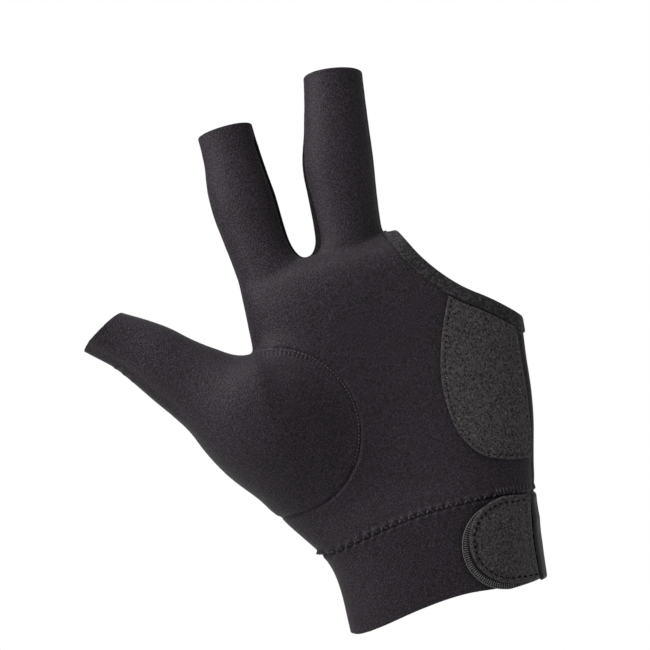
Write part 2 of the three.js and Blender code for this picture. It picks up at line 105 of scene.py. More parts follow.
THUMB_ROWS = (
    (-5.3, -10.1, 4.1, -8.0, 11.0),
    (0, -16.3, 12.0, -12.0, 14.0),
    (7.9, -21.8, 19.9, -16.6, 15.6),
    (18.5, -20.8, 23.3, -19.2, 15.8),
    (30.8, -19.7, 23.5, -19.4, 15.2),
    (41.8, -16.8, 19.7, -17.2, 13.6),
    (47.5, -14.6, 14.9, -15.0, 12.0),
    (55.4, -13.1, 12.5, -12.6, 10.6),
    (63.4, -12.1, 11.0, -11.4, 9.8),
    (71.3, -10.9, 10.3, -10.4, 9.4),
    (80.1, -10.0, 8.3, -9.2, 8.6),
    (88, -10.6, 6.0, -8.8, 8.0),
    (93, -10.9, 5.0, -8.8, 8.0),
)
# Sleeves: root across, out and up; lean to the right and tilt backwards in degrees; superellipse exponent
INDEX_PLACE = (-25.54, 2.56, 95.98, 0.0, 5.0)
MIDDLE_PLACE = (-1.12, 2.56, 97.98, 9.9, 5.0)
THUMB_PLACE = (-20.04, -2.88, 49.93, -41.8, 0.0)
PALM_SQUARENESS = 2.5
SLEEVE_SQUARENESS = 2.15
# Open end of each sleeve: length along it, slant across it and pitch up to its palm side in degrees
INDEX_END = (70.0, 0.0, 8.0)
MIDDLE_END = (77.0, 0.0, 12.0)
THUMB_END = (88.0, -11.0, 8.0)

# Lines across the glove, as points (across, up) in millimetres
HEM = (
    (-34, 1.6), (-31, 0.6), (-27.7, 0.2), (-20.2, 1.2), (-10.1, 2.9),
    (0, 3.9), (8.2, 3.9), (15.8, 2.9), (25.2, 1.5), (36, 0),
)
CUFF_SEAM = (
    (-35, 27), (-27.7, 27.3), (-20.2, 28.8), (-10.1, 30.4), (0, 31.4),
    (10.1, 31.4), (20.2, 30.8), (30.2, 29.5), (40, 27.7),
)
FREE_EDGE = (
    (17.2, 123.6), (18.2, 120.5), (22.5, 110.9), (27.5, 103.3), (33.4, 96.8),
    (40.4, 91.2), (46.1, 86), (50.3, 81.6), (56, 76),
)
PATCH_EDGE = (
    (31, 100), (28.7, 96.8), (23.2, 85.5), (19, 73.1), (17.9, 62.9),
    (18.8, 53.3), (22.5, 46), (28.1, 41.7), (37.7, 39.2), (52, 38.4),
)
THUMB_ARC = (-35.8, 68.65, 26.0, 26.7)  # centre across and up, half axes of the seam's ellipse
THUMB_EDGE_LEAN = 0.04  # of the thumb panel's edge beside the index sleeve
PATCH_INSIDE_SEAM = 2.0  # from the patch's straight edge to the side seam
PATCH_TO_TAPE = 0.3
TAPE_TOP = 122.3  # height of the tape's end beside the middle sleeve
TAPE_END_SLOPE = (-0.4, 0.9)  # across and up, square to that end

# Middle of the finger sleeves' depth: up, out
SLEEVE_MIDDLES = ((113.4, 3.9), (190.4, 10.6))
PALM_TOP = 95  # the palm's own rows give the middle of the depth below this height
SLEEVES_START = 110

# Side seam and strip between the finger sleeves: places, and distances from the middle of the depth
SIDE_SEAM = ((0, 38), (3.0, 6.0))  # across
GUSSET_FRONT = ((113.4, 160), (6.5, 1.0))  # up, beside the middle finger
GUSSET_FRONT_AT_INDEX = 2.5
GUSSET_SHARE = ((-14.6, -7.7), (0.0, 1.0))  # across, the middle finger's share in the front edge
GUSSET_BACK = ((113.4, 175), (5.0, 3.5))  # up
GUSSET_BOTTOM = 112.0
GUSSET_PAINTED_SHADE = 0.35  # painted shade: the strip's brightness, as a share of the knit's, darkened for the shadow in the fold between the fingers

# How the form is made
SECTION_STEP = 2.0
TUBE_SIDES = 72
SKIN_PASSES = 12  # smoothing over the whole skin
BALL_PASSES = 350  # smoothing between the thumb's swelling and the palm
BALL_LEFT = -47  # limits of that smoothing, across and out
BALL_FRONT = -3
BALL_INSIDE = -26  # its limits from the thumb's seam
BALL_OUTSIDE = 14
SLEEVE_ROOM = 16  # radius round a sleeve's axis that holds the whole sleeve
IN_FRONT = 60  # clear of the glove's front and back
FAR_AWAY = 99.0  # distance given where a line doesn't count
WELL_INSIDE = -20.0
ON_LINE = 0.05  # points this near to a line count as on it
LAYER_MARGIN = 3.0  # cloth kept round an outline until it is cut
SEAM_FINE_REACH = 2.6  # the cloth's grid is finer up to here from a seam
CUFF_PUCKER_PITCH = 3.1
THUMB_PUCKER_PITCH = 1.4
THUMB_ROLL_PITCH = 3.4

# Stitches: pitch, share of the pitch that a stitch fills, thickness as a share of the thread's
CUFF_STITCH = (1.55, 0.55, 1.2)
CUFF_STITCH_SLANT = 0.4
THUMB_STITCH = (1.15, 0.7, 1.1)
THUMB_STITCH_INSET = 0.5
THUMB_STITCH_ARC = (88, -40)  # in degrees
PATCH_STITCH_INSET = 1.3
TAB_STITCH_INSET = 2.0
PAD_CORD = (0.9, 1.1, 1.0)
PAD_CORD_INSET = 0.3

# Short threads side by side across a line: pitch, reach, radius
SEAM_TICKS = (1.1, 2.3, 0.18)
SEAM_TICKS_ACROSS = (25, 37.5)  # above the tab
PAD_TICKS = (0.75, 2.0, 0.15)
PAD_TICKS_INSET = 0.35
PAD_STRAIGHT = 2.0  # how far the pad's border goes on beside the tab

# Specks of fluff
LINT_SEED = 7
LINT_LENGTHS = (0.3, 0.7)
LINT_RADIUS = 0.09

# Wrist closure, in millimetres and degrees
TAB_CENTRE = (25.7, 16.2)  # middle of the tab's round end, across and up
TAB_TILT = 10.5
TAB_NARROWING = 0.045  # of each long side, towards the edge of the wrist
TAB_END_FORWARD = 11.2  # from the middle of the glove's depth to the tab's straight end
HOOK_SHIFT = (-2.4, -1.1)  # from the tab
HOOK_NARROWING = 0.15
STRAP_START = 3.2  # past the tab's straight end
STRAP_HALF_WIDTH = 13.8
STRAP_REACH = 40.0
STRAP_TILT = 3.0
STRAP_SHIFT = (0.0, -1.6)

# Stage, in metres
VIEW_CENTRE = Vector((-12.1, 0, 97.2)) * MM
VIEW_DISTANCE = 1.0
VIEW_WIDTH = 0.208  # across the picture at the glove
FLOOR_DEPTH = -0.5
FLOOR_REACH = 3.2
ROOM_LIGHT = 0.24
TOP_LIGHT = 1.6
# Soft lamps: name, place, size, power
LAMPS = (
    ("key_light", (-0.27, -0.14, 0.36), 0.2, 1.6),
    ("low_light", (-0.25, -0.10, 0.02), 0.2, 0.12),
    ("fill_light", (0.6, -0.5, 0.2), 0.5, 0.42),
)


def length(name, about, millimetres):
    """A length setting."""
    return FloatProperty(name=name, description=about, default=millimetres * MM, unit="LENGTH")


def shade(name, about, *colour):
    """A colour setting."""
    return FloatVectorProperty(name=name, description=about, subtype="COLOR", size=3, default=colour)


class GloveSizes(bpy.types.PropertyGroup):
    """Sizes of the cloth, seams and stitches."""

    voxel: length("Cloth grid", "Spacing of the cloth's points", 0.8)
    wall: length("Cloth", "Thickness of the stretch fabric", 1.2)
    seam_depth: length("Seam depth", "How far a seam pulls the cloth in", 0.55)
    seam_reach: length("Seam reach", "How far from a seam the cloth is pulled in", 0.8)
    tape_width: length("Tape width", "Width of the folded tape at the free edge", 4.5)
    tape_proud: length("Tape height", "Thickness of one layer of the tape", 0.7)
    patch_thickness: length("Patch", "Thickness of the palm patch", 1.0)
    tab_radius: length("Tab radius", "Radius of the tab's round end", 13.9)
    tab_thickness: length("Tab", "Thickness of the wrist tab", 1.6)
    hook_thickness: length("Hook pad", "Thickness of the hook pad", 1.2)
    strap_thickness: length("Strap", "Thickness of the wrist strap", 1.8)
    gap: length("Gap", "Clearance between layers", 0.3)
    thread: length("Thread", "Diameter of the sewing thread", 0.34)
    stitch_pitch: length("Stitch pitch", "Distance from stitch to stitch", 1.9)
    lint: IntProperty(name="Lint", description="Number of pale specks of fluff", default=16, min=0)


class GloveColours(bpy.types.PropertyGroup):
    """Colours of the cloth, tape and thread."""

    knit: shade("Knit", "Stretch fabric", 0.0032, 0.0019, 0.0030)
    knit_light: shade("Knit, light yarn", "Lighter yarn in the stretch fabric", 0.0385, 0.0247, 0.0408)
    patch: shade("Patch", "Brushed knit of patch and tab", 0.009, 0.0076, 0.0086)
    patch_light: shade("Patch, light yarn", "Lighter yarn in patch and tab", 0.098, 0.086, 0.092)
    tape: shade("Tape", "Knitted elastic tape", 0.006, 0.0052, 0.006)
    hooks: shade("Hooks", "Hook pad", 0.004, 0.0036, 0.004)
    pad_thread: shade("Pad thread", "Thread round the hook pad", 0.13, 0.12, 0.126)
    tab_thread: shade("Tab thread", "Border stitches of the tab", 0.0015, 0.0013, 0.0014)
    fine_thread: shade("Fine thread", "Stitches of the thumb's and cuff's seams", 0.062, 0.055, 0.062)
    lint: shade("Lint", "Specks of fluff", 0.32, 0.32, 0.30)


def sizes():
    """The glove's size settings."""
    return bpy.context.scene.glove_sizes


def colours():
    """The glove's colour settings."""
    return bpy.context.scene.glove_colours


def added(name, data):
    """A new object in the scene."""
    thing = bpy.data.objects.new(name, data)
    bpy.context.scene.collection.objects.link(thing)
    return thing


def mesh_from(name, form):
    """A mesh from a bmesh, which is freed."""
    mesh = bpy.data.meshes.new(name)
    form.to_mesh(mesh)
    form.free()
    return mesh


# Materials


class Nodes:
    """A material's node tree, with short calls for adding and joining nodes."""

    def __init__(self, name):
        self.material = bpy.data.materials.new(name)
        self.material.use_nodes = True
        self.tree = self.material.node_tree
        self.shader = self.tree.nodes["Principled BSDF"]
        self.place = self.add("ShaderNodeTexCoord").outputs["Object"]

    def add(self, kind, **settings):
        """A new node with the given settings."""
        node = self.tree.nodes.new(kind)
        for key, value in settings.items():
            setattr(node, key, value)
        return node

    def join(self, start, end):
        """A link from an output to an input."""
        self.tree.links.new(start, end)

    def noise(self, scale, detail, stretch=(1, 1, 1), turn=0.0):
        """Noise over the piece, stretched and turned in the plane of the palm."""
        texture = self.add("ShaderNodeTexNoise")
        self.set(texture, Scale=scale, Detail=detail)
        return self.spread(texture, stretch, turn)

    def wave(self, scale, turn, distortion):
        """Parallel ribs over the piece, turned in the plane of the palm."""
        texture = self.add("ShaderNodeTexWave", wave_type="BANDS", bands_direction="X")
        self.set(texture, Scale=scale, Distortion=distortion, Detail=1.0, Detail_Scale=1.5)
        return self.spread(texture, (1, 1, 1), turn)

    def spread(self, texture, stretch, turn):
        """A texture's value over the piece."""
        mapping = self.add("ShaderNodeMapping")
        self.set(mapping, Scale=stretch, Rotation=(0, turn, 0))
        self.join(self.place, mapping.inputs["Vector"])
        self.join(mapping.outputs["Vector"], texture.inputs["Vector"])
        return texture.outputs["Fac"]

    def maths(self, operation, first, second):
        """Two values put together."""
        node = self.add("ShaderNodeMath", operation=operation)
        for socket, value in zip(node.inputs, (first, second)):
            if isinstance(value, (int, float)):
                socket.default_value = value
            else:
                self.join(value, socket)
        return node.outputs[0]

    def total(self, *parts):
        """Sum of values, each times its share; each part is (value, share)."""
        shares = [self.maths("MULTIPLY", value, share) for value, share in parts]
        result = shares[0]
        for other in shares[1:]:
            result = self.maths("ADD", result, other)
        return result

    def paint(self, value, low, dark, high, light):
        """The shader's colour, from dark to light between a low and a high value."""
        node = self.add("ShaderNodeValToRGB")
        for element, position, colour in zip(node.color_ramp.elements, (low, high), (dark, light)):
            element.position = position
            element.color = (*colour, 1)
        self.join(value, node.inputs["Fac"])
        self.join(node.outputs["Color"], self.shader.inputs["Base Color"])

    def bump(self, height, distance, strength):
        """Relief from a height value, into the shader's normal."""
        node = self.add("ShaderNodeBump")
        self.set(node, Distance=distance, Strength=strength)
        self.join(height, node.inputs["Height"])
        self.join(node.outputs["Normal"], self.shader.inputs["Normal"])

    def set(self, node, **values):
        """Even values on a node's own sockets."""
        for key, value in values.items():
            node.inputs[key.replace("_", " ")].default_value = value


def tinted(colour, share):
    """A colour made darker or lighter."""
    return tuple(share * value for value in colour)


def stretch_knit(name="warp_knit", share=1.0):
    """Fine warp knit with a slight purple cast and a soft sheen; a share below 1 darkens it, which paints
    shade on the strip between the fingers.
    """
    nodes = Nodes(name)
    speckle = nodes.noise(2500, 1.0, (1.0, 1.0, 0.85), math.radians(35))
    loops = nodes.wave(500, math.radians(40), 8.0)
    yarn = nodes.total((speckle, 0.92), (loops, 0.08))
    patches = nodes.noise(60, 3.0)
    level = nodes.maths("ADD", yarn, nodes.maths("MULTIPLY", nodes.maths("SUBTRACT", patches, 0.5), 0.06))
    dark = tinted(colours().knit, share)
    light = tinted(colours().knit_light, share)
    nodes.paint(level, 0.42, dark, 0.70, light)
    nodes.set(nodes.shader, Roughness=0.6, Sheen_Weight=0.05 * share, Sheen_Roughness=0.4)
    nodes.set(nodes.shader, Specular_IOR_Level=0.26 * share)
    nodes.bump(yarn, 0.0003, 0.8)
    return nodes.material


def grainy(name, noises, shades, relief, roughness, gloss, sheen=(0.0, 0.5)):
    """A fabric whose colour and relief come from a few noises, each given as its share and its settings."""
    nodes = Nodes(name)
    grain = nodes.total(*((nodes.noise(*noise), share) for share, *noise in noises))
    nodes.paint(grain, *shades)
    nodes.bump(grain, *relief)
    nodes.set(nodes.shader, Roughness=roughness, Specular_IOR_Level=gloss)
    nodes.set(nodes.shader, Sheen_Weight=sheen[0], Sheen_Roughness=sheen[1])
    return nodes.material


def patch_knit():
    """Matt brushed knit with a fine square grain, made once for patch and tab."""
    if "brushed_knit" in bpy.data.materials:
        return bpy.data.materials["brushed_knit"]
    across = (0.35, 2300, 1.0, (1.0, 1.0, 0.5), PHOTO_LEAN)
    along = (0.35, 2300, 1.0, (0.5, 1.0, 1.0), PHOTO_LEAN)
    fuzz = (0.3, 2100, 1.0)
    shades = (0.40, colours().patch, 0.66, colours().patch_light)
    return grainy("brushed_knit", (across, along, fuzz), shades, (0.0004, 0.8), 0.85, 0.2, (0.08, 0.5))


def edge_tape():
    """Coarse mottled elastic tape."""
    turn = math.radians(-38)
    loops = (0.55, 1500, 1.0, (1.0, 1.0, 1.3), turn)
    mottle = (0.45, 700, 2.0, (1.0, 1.0, 1.5), turn)
    shades = (0.47, colours().tape, 0.62, tinted(colours().tape, 7.0))
    return grainy("elastic_tape", (loops, mottle), shades, (0.0005, 0.9), 0.7, 0.3, (0.08, 0.4))


def hook_tape():
    """Woven tape with a dense pile of small hooks."""
    shades = (0.35, colours().hooks, 0.75, tinted(colours().hooks, 2.5))
    return grainy("hook_pile", ((1.0, 2200, 1.0),), shades, (0.0003, 0.8), 0.5, 0.3)


def woven_strap():
    """Smooth satin strap, narrow-woven."""
    weave = (1.0, 1900, 1.0, (0.5, 1.0, 1.0))
    shades = (0.35, colours().tape, 0.7, tinted(colours().tape, 1.5))
    return grainy("woven_strap", (weave,), shades, (0.0002, 0.5), 0.4, 0.33)


def plain_material(name, colour, roughness, variation, gloss=0.45):
    """A thread or fibre with a little variation from place to place."""
    nodes = Nodes(name)
    level = nodes.noise(1200, 1.0)
    nodes.paint(level, 0.3, tinted(colour, 1 - variation), 0.7, tinted(colour, 1 + variation))
    nodes.set(nodes.shader, Roughness=roughness, Specular_IOR_Level=gloss)
    return nodes.material


# Form of the glove


def dense_rows(rows):
    """Table rows smoothed to sections a few millimetres apart."""
    table = np.array(rows, float)
    along = table[:, 0]
    slopes = np.gradient(table, along, axis=0)
    count = int((along[-1] - along[0]) / SECTION_STEP) + 1
    stations = np.linspace(along[0], along[-1], count)
    place = np.clip(np.searchsorted(along, stations, side="right") - 1, 0, len(along) - 2)
    step = (along[place + 1] - along[place])[:, None]
    t = ((stations - along[place]) / step[:, 0])[:, None]
    low, high = table[place], table[place + 1]
    rise = slopes[place] * step
    fall = slopes[place + 1] * step
    smooth = (
        (2 * t**3 - 3 * t**2 + 1) * low
        + (t**3 - 2 * t**2 + t) * rise
        + (3 * t**2 - 2 * t**3) * high
        + (t**3 - t**2) * fall
    )
    smooth[:, 0] = stations
    return smooth


def add_tube(form, rows, squareness, place):
    """A closed tube through the sections of a table, added to the form."""
    sections = dense_rows(rows)
    grid = bmesh.new()
    bmesh.ops.create_grid(grid, x_segments=TUBE_SIDES, y_segments=len(sections) - 1, size=1)
    for vertex in grid.verts:
        angle = math.pi * (vertex.co.x + 1)
        row = sections[round((vertex.co.y + 1) / 2 * (len(sections) - 1))]
        up, left, right, front, back = row[:5]
        hollow = row[5] if len(row) > 5 else 0
        c, s = math.cos(angle), math.sin(angle)
        x = (right - left) / 2 * math.copysign(abs(c) ** (2 / squareness), c)
        y = (back - front) / 2 * math.copysign(abs(s) ** (2 / squareness), s)
        if y < 0:
            y += hollow * math.cos(x / (right - left) * math.pi) ** 2
        vertex.co = Vector(((left + right) / 2 + x, (front + back) / 2 + y, up)) * MM
    bmesh.ops.remove_doubles(grid, verts=grid.verts, dist=1e-6)
    bmesh.ops.holes_fill(grid, edges=[edge for edge in grid.edges if edge.is_boundary], sides=0)
    bmesh.ops.transform(grid, matrix=place, verts=grid.verts)
    bmesh.ops.recalc_face_normals(grid, faces=grid.faces)
    mesh = mesh_from("tube", grid)
    form.from_mesh(mesh)
    bpy.data.meshes.remove(mesh)


def sleeve_matrix(place):
    """Where a sleeve's root stands, and how it leans and tilts."""
    x, y, z, lean, back = place
    lean_turn = Matrix.Rotation(math.radians(lean), 4, "Y")
    back_turn = Matrix.Rotation(-math.radians(back), 4, "X")
    return Matrix.Translation(Vector((x, y, z)) * MM) @ lean_turn @ back_turn


def remeshed(mesh, voxel):
    """The mesh with its overlapping tubes joined into one even skin."""
    piece = added("form", mesh)
    modifier = piece.modifiers.new("skin", "REMESH")
    modifier.mode = "VOXEL"
    modifier.voxel_size = voxel
    graph = bpy.context.evaluated_depsgraph_get()
    skin = bpy.data.meshes.new_from_object(piece.evaluated_get(graph))
    bpy.data.objects.remove(piece)
    return skin


def glove_form():
    """The outside of the glove as one closed skin."""
    form = bmesh.new()
    add_tube(form, WRIST_AND_PALM, PALM_SQUARENESS, Matrix.Identity(4))
    for rows, place in ((INDEX_ROWS, INDEX_PLACE), (MIDDLE_ROWS, MIDDLE_PLACE), (THUMB_ROWS, THUMB_PLACE)):
        add_tube(form, rows, SLEEVE_SQUARENESS, sleeve_matrix(place))
    skin = remeshed(mesh_from("form", form), sizes().voxel)
    form = bmesh.new()
    form.from_mesh(skin)
    bpy.data.meshes.remove(skin)
    even_out(form, form.verts, SKIN_PASSES)
    soften_thumb_ball(form)
    return form


def even_out(form, vertices, passes):
    """Smooths the form at these vertices."""
    for _ in range(passes):
        bmesh.ops.smooth_vert(
            form, verts=vertices, factor=0.5, use_axis_x=True, use_axis_y=True, use_axis_z=True
        )


def soften_thumb_ball(form):
    """Eases the hollow between the swelling of the thumb panel and the palm, less towards its limits."""
    points = cloth_points(form)
    away = outside_thumb_arc(points)
    parts = (
        (points[:, 0] - BALL_LEFT) / 16,
        (away - BALL_INSIDE) / 10,
        (BALL_OUTSIDE - away) / 10,
        (BALL_FRONT - points[:, 1]) / 6,
    )
    share = np.prod([np.clip(part, 0, 1) for part in parts], axis=0)
    near = np.flatnonzero(share)
    form.verts.ensure_lookup_table()
    hollow = [form.verts[i] for i in near]
    even_out(form, hollow, BALL_PASSES)
    for i, vertex in zip(near, hollow):
        vertex.co = Vector(points[i] * MM).lerp(vertex.co, share[i])


# Distances from the glove's lines, in millimetres, for points given as rows of (x, y, z) in millimetres


def smooth_line(points, steps):
    """A Catmull-Rom line through points."""
    table = np.array(points, float)
    ends = np.vstack([2 * table[0] - table[1], table, 2 * table[-1] - table[-2]])
    t = np.linspace(0, 1, steps, endpoint=False)[:, None]
    parts = []
    for i in range(len(table) - 1):
        a, b, c, d = ends[i : i + 4]
        bend = 2 * a - 5 * b + 4 * c - d
        twist = 3 * b - a - 3 * c + d
        parts.append(0.5 * (2 * b + (c - a) * t + bend * t**2 + twist * t**3))
    return np.vstack([*parts, table[-1:]])


def line_distance(points, line):
    """Distance in X and Z from a line; positive on the left of its direction."""
    place = points[:, [0, 2]]
    nearest = np.full(len(place), np.inf)
    signed = np.zeros(len(place))
    for start, end in zip(line[:-1], line[1:]):
        along = end - start
        offset = place - start
        share = np.clip(offset @ along / (along @ along), 0, 1)
        gap = offset - share[:, None] * along
        distance = np.hypot(gap[:, 0], gap[:, 1])
        side = np.sign(along[0] * offset[:, 1] - along[1] * offset[:, 0])
        better = distance < nearest - 1e-9
        nearest = np.where(better, distance, nearest)
        signed = np.where(better, side * distance, signed)
    return signed


def above_line(points, line):
    """Height over a line across the glove."""
    smooth = smooth_line(line, 4)
    return points[:, 2] - np.interp(points[:, 0], smooth[:, 0], smooth[:, 1])


def above_hem(points):
    """Height over the cuff's lower hem."""
    return above_line(points, HEM)


def above_cuff_seam(points):
    """Height over the seam between cuff and palm."""
    return above_line(points, CUFF_SEAM)


def outside_thumb_arc(points):
    """Distance outside the thumb's seam."""
    cx, cz, across, up = THUMB_ARC
    x = points[:, 0] - cx
    z = points[:, 2] - cz
    reach = np.hypot(x / across, z / up)
    arc = (reach - 1) * (across + up) / 2
    beside_index = np.where(z > up, x + THUMB_EDGE_LEAN * (z - up), -np.inf)
    return np.where(x > 0, arc, np.maximum(-up - z, beside_index))


def beyond_free_edge(points):
    """Distance into the opening from the slanting free edge."""
    distance = line_distance(points, smooth_line(FREE_EDGE, 5))
    return np.where(points[:, 2] > FREE_EDGE[0][1], -np.abs(distance), distance)


def behind_middle(points):
    """Distance behind the middle of the glove's depth."""
    rows = [(row[0], (row[3] + row[4]) / 2) for row in WRIST_AND_PALM if row[0] < PALM_TOP]
    heights, middles = zip(*rows, *SLEEVE_MIDDLES)
    return points[:, 1] - np.interp(points[:, 2], heights, middles)


def behind_side_seam(points):
    """Distance behind the seam up the glove's sides."""
    forward = np.interp(points[:, 0], *SIDE_SEAM)
    forward = np.where(points[:, 2] > SLEEVES_START, SIDE_SEAM[1][0], forward)
    return behind_middle(points) + forward


def behind_gusset_front(points):
    """Distance behind the front edge of the strip between the fingers."""
    wide = np.interp(points[:, 2], *GUSSET_FRONT)
    share = np.interp(points[:, 0], *GUSSET_SHARE)
    forward = share * (wide - GUSSET_FRONT_AT_INDEX) + GUSSET_FRONT_AT_INDEX
    return behind_middle(points) + forward


def behind_gusset_back(points):
    """Distance behind the back edge of the strip between the fingers."""
    return behind_middle(points) - np.interp(points[:, 2], *GUSSET_BACK)


def sleeve_points(points, place):
    """Points in a sleeve's own place, in millimetres."""
    turn = np.array(sleeve_matrix(place).inverted())
    return points @ turn[:3, :3].T + turn[:3, 3] / MM


def past_end(points, place, end):
    """Distance past a sleeve's open end."""
    length, slant, pitch = end
    x, y, z = sleeve_points(points, place).T
    cut = length + x * math.tan(math.radians(slant)) - y * math.tan(math.radians(pitch))
    return np.where(np.hypot(x, y) < SLEEVE_ROOM, z - cut, WELL_INSIDE)


def between_fingers(points):
    """Positive between the two finger sleeves' middles, above the palm."""
    x, _, z = points.T
    left = INDEX_PLACE[0]
    right, _, root, lean, _ = MIDDLE_PLACE
    inside = np.minimum(x - left, right + (z - root) * math.tan(math.radians(lean)) - x)
    return np.minimum(inside, z - GUSSET_BOTTOM)


# Cutting the skin along those lines


def cloth_points(cloth):
    """All points of a bmesh in millimetres."""
    return np.array([vertex.co for vertex in cloth.verts], float).reshape(-1, 3) / MM


def cut_along(cloth, distance):
    """New edges where a distance passes through zero, so that a piece can end there."""
    values = distance(cloth_points(cloth))
    values = np.where(np.abs(values) < ON_LINE, 0.0, values)
    cloth.verts.ensure_lookup_table()
    cloth.verts.index_update()
    fresh = [cloth.verts[i] for i in np.flatnonzero(values == 0)]
    crossing = []
    for edge in cloth.edges:
        a, b = (values[vertex.index] for vertex in edge.verts)
        if a * b < 0:
            crossing.append((edge, a / (a - b)))
    for edge, share in crossing:
        fresh.append(bmesh.utils.edge_split(edge, edge.verts[0], share)[1])
    bmesh.ops.connect_verts(cloth, verts=fresh)


def kept(cloth, *tests):
    """A copy of the cloth with only the faces whose middle is on the negative side of every test."""
    copy = cloth.copy()
    middles = np.array([face.calc_center_median() for face in copy.faces], float).reshape(-1, 3) / MM
    outside = np.max([test(middles) for test in tests], axis=0) > 0
    gone = [face for face, out in zip(copy.faces, outside) if out]
    bmesh.ops.delete(copy, geom=gone, context="FACES")
    return copy


def beyond(test):
    """The other side of a test."""
    return lambda points: -test(points)


def finer(cloth, distance, reach):
    """Halves the cloth's grid near a line."""
    away = np.abs(distance(cloth_points(cloth)))
    cloth.verts.index_update()
    edges = [edge for edge in cloth.edges if all(away[vertex.index] < reach for vertex in edge.verts)]
    bmesh.ops.subdivide_edges(cloth, edges=edges, cuts=1, use_grid_fill=True)
    many_sided = [face for face in cloth.faces if len(face.verts) > 4]
    bmesh.ops.triangulate(cloth, faces=many_sided)


def bell(value, middle, width):
    """1 at the middle value, falling off smoothly to both sides."""
    return np.exp(-(((value - middle) / width) ** 2))


def faded(away, fade):
    """A distance made larger, so that the groove along its line fades out."""
    return np.copysign(np.hypot(away, fade), away)


def pull_in(cloth, distance, depth, reach, puckers=None):
    """Sinks the cloth along a seam, with puckers beside it. All sizes are in millimetres."""
    points = cloth_points(cloth)
    away = distance(points)
    sink = depth * bell(away, 0, reach)
    if puckers is not None:
        sink = sink - puckers(points, away)
    cloth.normal_update()
    cloth.verts.ensure_lookup_table()
    for i in np.flatnonzero(np.abs(away) < 5 * reach):
        vertex = cloth.verts[i]
        vertex.co -= vertex.normal * float(sink[i]) * MM


def cuff_puckers(points, away):
    """Small swellings beside the cuff's seam, larger above it and towards the thumb, none at the strap."""
    x = points[:, 0]
    turn = 2 * math.pi * x / CUFF_PUCKER_PITCH
    above = away > 0
    size = np.interp(x, (-30, 5, 30), (0.95, 0.55, 0.4)) * np.where(above, 1.0, 0.5)
    wave = 0.5 + 0.5 * np.sin(turn + np.where(above, 0, math.pi))
    level = 0.6 * np.interp(x, (32, 38), (0, 1)) * bell(away, 0, 1.5)
    return size * wave * bell(np.abs(away), 1.0, 0.8) + level


def thumb_roll(points):
    """Distance from the shallow valley up the thumb's outer side, over the sleeve alone."""
    x, y, z = sleeve_points(points, THUMB_PLACE).T
    along, _, _, fronts, backs = np.array(THUMB_ROWS, float).T
    front = np.interp(z, along, fronts)
    back = np.interp(z, along, backs)
    valley = (front + back) / 2 + 0.33 * (front - back)
    outer = (x < 0) & (outside_thumb_arc(points) < 0) & (z > 40)
    return np.where(outer, faded(y - valley, np.interp(z, (40, 56), (8, 0))), FAR_AWAY)


def thumb_tip_rolls(points, away):
    """Small swellings near the thumb's open end, outside that valley."""
    along = sleeve_points(points, THUMB_PLACE)[:, 2]
    window = np.interp(along, (67, 71, 80, 83), (0, 1, 1, 0))
    rolls = np.sin(2 * math.pi * along / THUMB_ROLL_PITCH)
    return 0.32 * window * rolls * bell(away, 3.2, 1.6)


def thumb_puckers(points, away):
    """Fine gathers across the upper part of the thumb's seam."""
    turn = np.arctan2(points[:, 2] - THUMB_ARC[1], points[:, 0] - THUMB_ARC[0])
    along = turn * THUMB_ARC[2]
    size = np.interp(points[:, 2], (75, 90), (0.03, 0.15))
    gathers = np.sin(2 * math.pi * along / THUMB_PUCKER_PITCH)
    return size * gathers * bell(away, -1.2, 1.2)


def raise_by(cloth, height):
    """Moves each point out along its normal by a height in millimetres, given for all points."""
    heights = height(cloth_points(cloth))
    cloth.normal_update()
    for vertex, amount in zip(cloth.verts, heights):
        vertex.co += vertex.normal * float(amount) * MM


def rounded(inside, edge):
    """Height share over a rounded edge: 0 at the edge, 1 from that far inside."""
    share = np.clip(inside / edge, 0, 1)
    return np.sqrt(1 - (1 - share) ** 2)


# Making pieces


def finished(name, cloth, material, slot, *nodes):
    """A named piece from a bmesh, with its finish, its body and the nodes it stands for."""
    mesh = mesh_from(name, cloth)
    mesh.materials.append(material)
    piece = added(name, mesh)
    mesh.shade_smooth()
    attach(piece, "root")
    if nodes:
        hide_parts(*nodes)
    return piece


def thickened(piece, thickness):
    """A wall of even thickness, grown inwards, with crisp rims."""
    wall = piece.modifiers.new("wall", "SOLIDIFY")
    wall.thickness = thickness
    wall.offset = -1
    crisp = piece.modifiers.new("crisp_rims", "EDGE_SPLIT")
    crisp.split_angle = math.radians(60)
    return piece


FORMS = {}


def skin():
    """The glove's closed outside, made once and copied for each piece."""
    if "skin" not in FORMS:
        FORMS["skin"] = glove_form()
    return FORMS["skin"].copy()


def outside_tape(points):
    """Distance outside the folded tape, on the palm's side of it."""
    below = -beyond_free_edge(points) - sizes().tape_width / MM
    across, up = TAPE_END_SLOPE
    past_top = up * (points[:, 2] - TAPE_TOP) + across * (points[:, 0] - FREE_EDGE[1][0])
    return np.maximum(below, past_top)


def sleeve_ends(points):
    """Distance past the nearest of the three open sleeve ends."""
    ends = ((INDEX_PLACE, INDEX_END), (MIDDLE_PLACE, MIDDLE_END), (THUMB_PLACE, THUMB_END))
    return np.max([past_end(points, place, end) for place, end in ends], axis=0)


def outside_gusset(points):
    """Distance outside the strip between the fingers."""
    parts = (-between_fingers(points), -behind_gusset_front(points), behind_gusset_back(points))
    return np.max(parts, axis=0)


